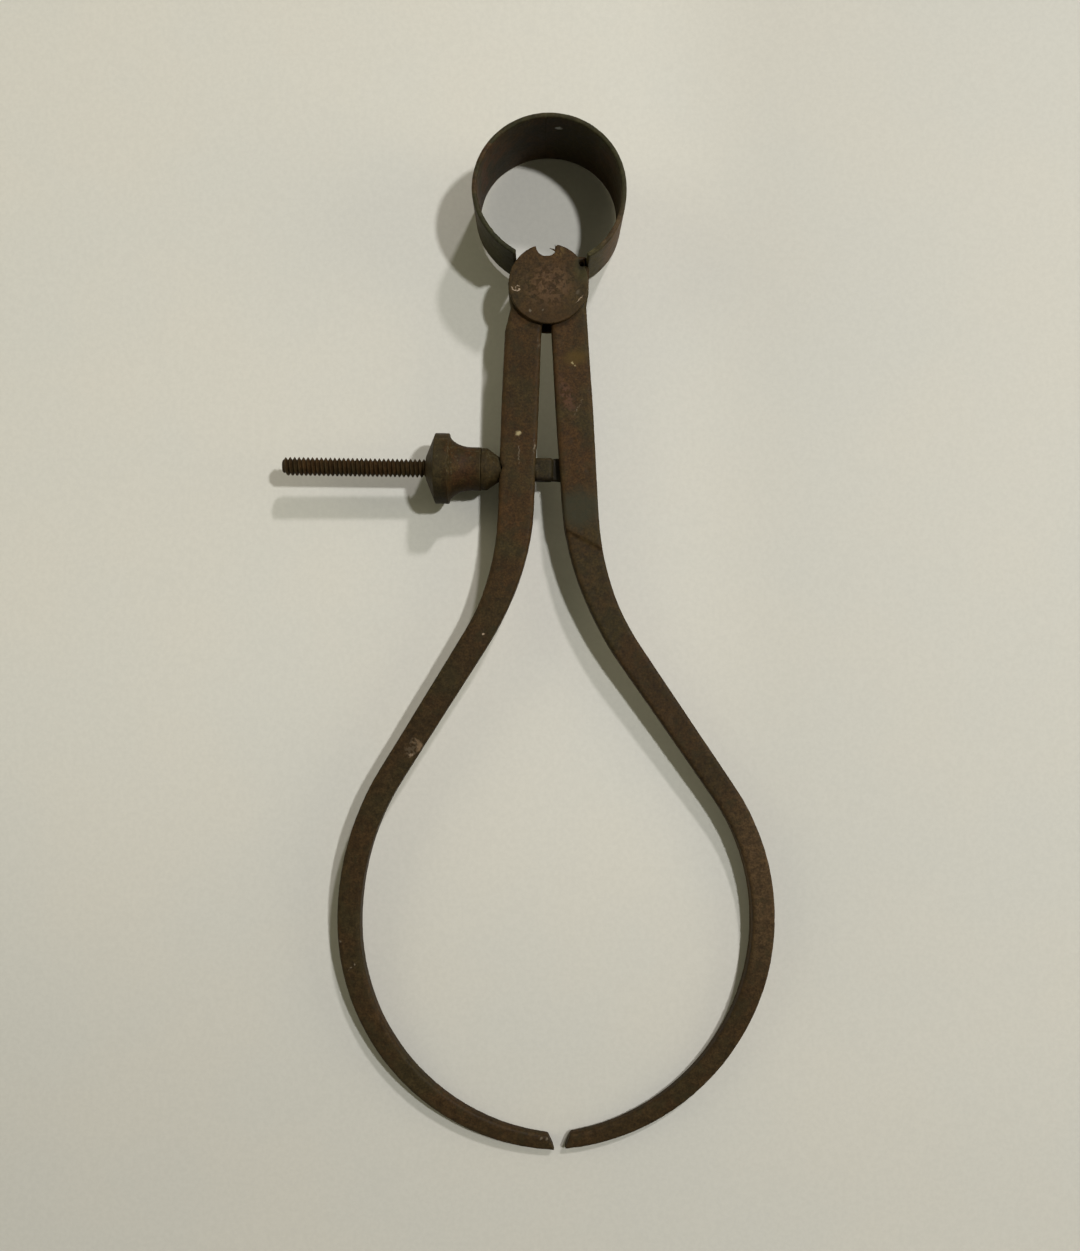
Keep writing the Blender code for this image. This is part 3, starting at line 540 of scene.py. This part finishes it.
def remeshed(piece, pitch, smoothing=2):
    fine = piece.modifiers.new("fine", "REMESH")
    fine.mode = "VOXEL"
    fine.voxel_size = pitch * mm
    smooth = piece.modifiers.new("smooth", "SMOOTH")
    smooth.factor = smoothShare
    smooth.iterations = smoothing
    return applyModifiers(piece)


def weather(piece, look):
    mesh = piece.data
    normals = [vertex.normal.copy() for vertex in mesh.vertices]
    for vertex, normal in zip(mesh.vertices, normals):
        place = vertex.co / mm
        move = look["dent"] * noise.noise(place / look["dentSize"])
        move += look["scale"] * noise.fractal(place / look["scaleSize"], *look["scaleFractal"])
        reach, centres = noise.voronoi(place / look["pitSize"])
        if noise.cell(centres[0] * look["pitDraw"]) > 1 - 2 * look["pitShare"]:
            move -= look["pit"] * max(0.0, 1 - (reach[0] / look["pitReach"]) ** 2)
        vertex.co += normal * move * mm
    mesh.update()


def dress(piece, slotName, body=None):
    piece.data.materials.clear()
    piece.data.materials.append(finishes[slotName])
    piece.data.shade_smooth()
    if body:
        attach(piece, body)
    return piece


def solidOf(*names):
    bm = bmesh.new()
    for node in names:
        bm.from_mesh(nodes[node].data)
    bmesh.ops.remove_doubles(bm, verts=bm.verts, dist=weld)
    return bm


def turned(profile, **spin):
    bm = bmesh.new()
    ring = [bm.verts.new(place) for place in profile]
    edges = [bm.edges.new(pair) for pair in zip(ring, ring[1:])]
    bmesh.ops.spin(bm, geom=ring + edges, cent=(0, 0, 0), **spin)
    bmesh.ops.remove_doubles(bm, verts=bm.verts, dist=weldTurned)
    return bm


def cutAndCap(bm, place, way, reach=weld, **cleared):
    everything = bm.verts[:] + bm.edges[:] + bm.faces[:]
    bmesh.ops.bisect_plane(bm, geom=everything, plane_co=place, plane_no=way, **cleared)
    rim = [edge for edge in bm.edges if edge.is_boundary
           and all(abs((vertex.co - place).dot(way)) < reach for vertex in edge.verts)]
    bmesh.ops.holes_fill(bm, edges=rim, sides=0)


def addRod(bm, start, end, startRadius, endRadius, segments=32):
    first, last = Vector(start), Vector(end)
    aim = (last - first).to_track_quat("Z", "Y").to_matrix().to_4x4()
    place = plan @ Matrix.Scale(mm, 4) @ Matrix.Translation((first + last) / 2) @ aim
    bmesh.ops.create_cone(bm, cap_ends=True, segments=segments, radius1=startRadius,
                          radius2=endRadius, depth=(last - first).length, matrix=place)


def notched(bm, look):
    piece = pieceFrom("whole", bm)
    cutter = bmesh.new()
    addRod(cutter, look["bottom"], look["top"], look["bottomRadius"], look["topRadius"])
    combine(piece, pieceFrom("notch", cutter), "DIFFERENCE")
    left = bmesh.new()
    left.from_mesh(piece.data)
    bpy.data.objects.remove(piece)
    return left


def finePiece(name, bm, pitch, surface, smoothing=2):
    piece = remeshed(pieceFrom(name, bm), pitch, smoothing)
    weather(piece, surface)
    return piece


# Legs. The swivel pin is riveted flush into the right leg, and its ends have vanished.
# A hole has been eaten into the disc's rim and the head under it, on the right, and shade is painted
# round it on the disc.
# The tips are worn on a slant, so that their outer corners stand closest together.

notchLook = dict(top=(5.95, 3.48, 4.2), bottom=(5.95, 3.48, -1.5), topRadius=0.60, bottomRadius=0.52)
legLook = dict(pitch=0.24, surface=oldSurface, face=2.45, eyeSlot=0.85, rivet=1.2,
               tipStart=-140.0, tipFace=1.2, tipReach=0.65, tipBack=0.36)


def slantTip(bm, side, look):
    places = [(vertex, plan.inverted() @ vertex.co / mm) for vertex in bm.verts]
    places = [(vertex, place) for vertex, place in places if place.y < look["tipStart"]]
    end = min(side * place.x for vertex, place in places)
    face = [(vertex, place.y) for vertex, place in places if side * place.x - end < look["tipFace"]]
    low = min(height for vertex, height in face)
    high = max(height for vertex, height in face)
    for vertex, height in face:
        outer = (high - height) / (high - low)
        back = look["tipBack"] - outer * (look["tipBack"] + look["tipReach"])
        vertex.co += planX * side * back * mm


def buildLeftLeg(look):
    bm = solidOf("left_leg")
    slantTip(bm, -1, look)
    leg = finePiece("leftLeg", bm, look["pitch"], look["surface"])
    dress(leg, "leg_steel", "left_leg")
    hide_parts("left_leg")


def buildRightLeg(look):
    bm = notched(solidOf("right_leg"), notchLook)
    slantTip(bm, 1, look)
    bm.from_mesh(nodes["swivel_pin"].data)
    x, y, _ = plan.inverted() @ pivot / mm
    for side in (1, -1):
        addRod(bm, (x, y, side * look["face"]), (x, y, side * look["eyeSlot"]),
               look["rivet"], look["rivet"])
    leg = finePiece("rightLeg", bm, look["pitch"], look["surface"])
    dress(leg, "leg_steel", "right_leg")
    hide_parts("right_leg", "swivel_pin")


buildLeftLeg(legLook)
buildRightLeg(legLook)
print("legs done")


# Bow spring, cut at its crown into a right and a left half.

bowLook = dict(pitch=0.20, crown=(0.0, 27.8, 0.0), foot=(7.0, 3.0, 0.0),
               surface=dict(oldSurface, dent=0.015, pit=0.030, pitShare=0.25))


def buildBow(look):
    whole = finePiece("bowWhole", solidOf("bow_spring"), look["pitch"], look["surface"])
    crown = onPlan(*look["crown"])
    for name, side, body in (("bowRight", 1, "right_leg"), ("bowLeft", -1, "left_leg")):
        bm = bmesh.new()
        bm.from_mesh(whole.data)
        cutAndCap(bm, crown, planX * side, clear_inner=True)
        half = dress(pieceFrom(name, bm), "spring_steel")
        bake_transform(half)
        if side > 0:
            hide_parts("bow_spring")
    bpy.data.objects.remove(whole)


buildBow(bowLook)
print("bow spring done")


# Fulcrum: discs, and the stud whose ends are riveted over them

discLook = dict(
    pitch=0.10, surface=dict(oldSurface, dent=0.02, pit=0.03, pitShare=0.3),
    burr=((1.50, 5.50, 3.1), (1.00, 5.95, 3.2), (0.24, 6.22, 3.25)), burrRoot=0.22, burrTip=0.07,
    splinter=((1.42, 5.20, 3.1), (1.22, 6.90, 3.3)), splinterRoot=0.12, burrSides=8)
studLook = dict(
    radius=2.6, headRadius=3.35, headFlat=0.75, headTop=3.485, headEdge=3.44, headRim=0.15,
    neck=0.35, steps=64, pitch=0.10,
    surface=dict(oldSurface, dent=0.03, dentSize=1.1, scale=0.018, scaleSize=0.5, pit=0.03))


def buildDiscs(look):
    for name, node in (("frontDisc", "front_disc"), ("backDisc", "back_disc")):
        bm = solidOf(node)
        if name == "frontDisc":
            bm = notched(bm, notchLook)
            root, bend, tip = look["burr"]
            thick, thin, sides = look["burrRoot"], look["burrTip"], look["burrSides"]
            middle = (thick + thin) / 2
            addRod(bm, root, bend, thick, middle, sides)
            addRod(bm, bend, tip, middle, thin, sides)
            addRod(bm, *look["splinter"], look["splinterRoot"], thin, sides)
        disc = finePiece(name, bm, look["pitch"], look["surface"], 1)
        dress(disc, "fulcrum_steel", "fulcrum")
        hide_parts(node)


def buildStud(look):
    head, edge, top = look["headRadius"], look["headEdge"], look["headTop"]
    half = [(0.0, top), (look["headFlat"] * head, top), (head, edge), (head, edge - look["headRim"]),
            (look["radius"], edge - look["neck"])]
    profile = half + [(out, -height) for out, height in reversed(half)]
    bm = turned([(out, 0.0, height) for out, height in profile], axis=(0, 0, 1),
                angle=2 * math.pi, steps=look["steps"], use_merge=True)
    bmesh.ops.recalc_face_normals(bm, faces=bm.faces)
    bmesh.ops.transform(bm, verts=bm.verts, matrix=plan @ Matrix.Scale(mm, 4))
    rivet = finePiece("rivetedStud", bm, look["pitch"], look["surface"], 1)
    dress(rivet, "fulcrum_steel", "fulcrum")
    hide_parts("fulcrum_stud")


buildDiscs(discLook)
buildStud(studLook)
print("fulcrum done")


# Screw: the shank is the model's, and the thread is a true helix joined to it

screwLook = dict(
    pitch=0.794, radius=1.65, root=1.14, crest=0.06, start=7.6, end=52.5, point=0.55,
    spareTurns=2, steps=36, overlap=0.2, shankPitch=0.12, sharpAngle=40.0,
    surface=dict(oldSurface, dent=0.0, scale=0.010, scaleSize=0.5, pit=0.02))


def buildThread(look):
    pitch, high, low, flat = (look[key] for key in ("pitch", "radius", "root", "crest"))
    turns = math.ceil((look["end"] - look["start"]) / pitch) + look["spareTurns"]
    profile = [(0.0, low), (flat / 2, low), (pitch / 2 - flat / 2, high),
               (pitch / 2 + flat / 2, high), (pitch - flat / 2, low), (pitch, low)]
    first = look["start"] - pitch
    bm = turned([(first + along, out, 0.0) for along, out in profile], axis=(1, 0, 0),
                dvec=(pitch / look["steps"], 0, 0), angle=2 * math.pi * turns,
                steps=look["steps"] * turns)
    for limit, way in ((look["start"], -1), (look["end"], 1)):
        cutAndCap(bm, Vector((limit, 0, 0)), Vector((way, 0, 0)), weldTurned, clear_outer=True)
    for vertex in bm.verts:
        out = vertex.co.yz.length
        allowed = high - max(0.0, vertex.co.x - look["end"] + look["point"])
        if out > allowed:
            vertex.co.y *= allowed / out
            vertex.co.z *= allowed / out
    bmesh.ops.recalc_face_normals(bm, faces=bm.faces)
    aim = screwWay.to_track_quat("X", "Z").to_matrix().to_4x4()
    bmesh.ops.transform(bm, verts=bm.verts,
                        matrix=Matrix.Translation(pivot) @ aim @ Matrix.Scale(mm, 4))
    return pieceFrom("thread", bm)


def buildScrew(look):
    bm = solidOf("adjusting_screw")
    shankEnd = pivot + screwWay * (look["start"] + look["overlap"]) * mm
    cutAndCap(bm, shankEnd, screwWay, clear_outer=True)
    screw = remeshed(pieceFrom("screw", bm), look["shankPitch"], 1)
    combine(screw, buildThread(look), "UNION")
    weather(screw, look["surface"])
    dress(screw, "screw_steel", "screw")
    screw.data.set_sharp_from_angle(angle=math.radians(look["sharpAngle"]))
    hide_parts("adjusting_screw")


buildScrew(screwLook)
print("screw done")


# Washer and nut. The washer's flat face meets the nut with no seam, and its nose reaches
# into the seat of the left leg.

nutLook = dict(pitch=0.12, faceReach=0.1, seamClosed=0.16, noseReach=0.62, noseShare=0.94, bore=1.9,
               surface=dict(oldSurface, dent=0.02, dentSize=4.0, pit=0.04, pitShare=0.3))


def alongScrew(vertex):
    return (vertex.co - pivot).dot(screwWay)


def seatNose(bm, look):
    tip = min(alongScrew(vertex) for vertex in bm.verts)
    for vertex in bm.verts:
        along = alongScrew(vertex)
        axisPoint = pivot + screwWay * along
        out = vertex.co - axisPoint
        if along - tip < look["faceReach"] * mm:
            share = look["noseShare"] if out.length > look["bore"] * mm else 1.0
            vertex.co = axisPoint + out * share - screwWay * look["noseReach"] * mm


def buildNut(look):
    for name, node, body in (("coneWasher", "cone_washer", "washer"),
                             ("flaredNut", "adjusting_nut", "nut")):
        bm = solidOf(node)
        if name == "coneWasher":
            back = max(alongScrew(vertex) for vertex in bm.verts)
            face = [vertex for vertex in bm.verts if back - alongScrew(vertex) < look["faceReach"] * mm]
            bmesh.ops.translate(bm, vec=screwWay * look["seamClosed"] * mm, verts=face)
            seatNose(bm, look)
        piece = finePiece(name, bm, look["pitch"], look["surface"], 1)
        dress(piece, "nut_steel", body)
        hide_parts(node)


buildNut(nutLook)
print("nut done")


bpy.context.scene.view_settings.view_transform = "Standard"
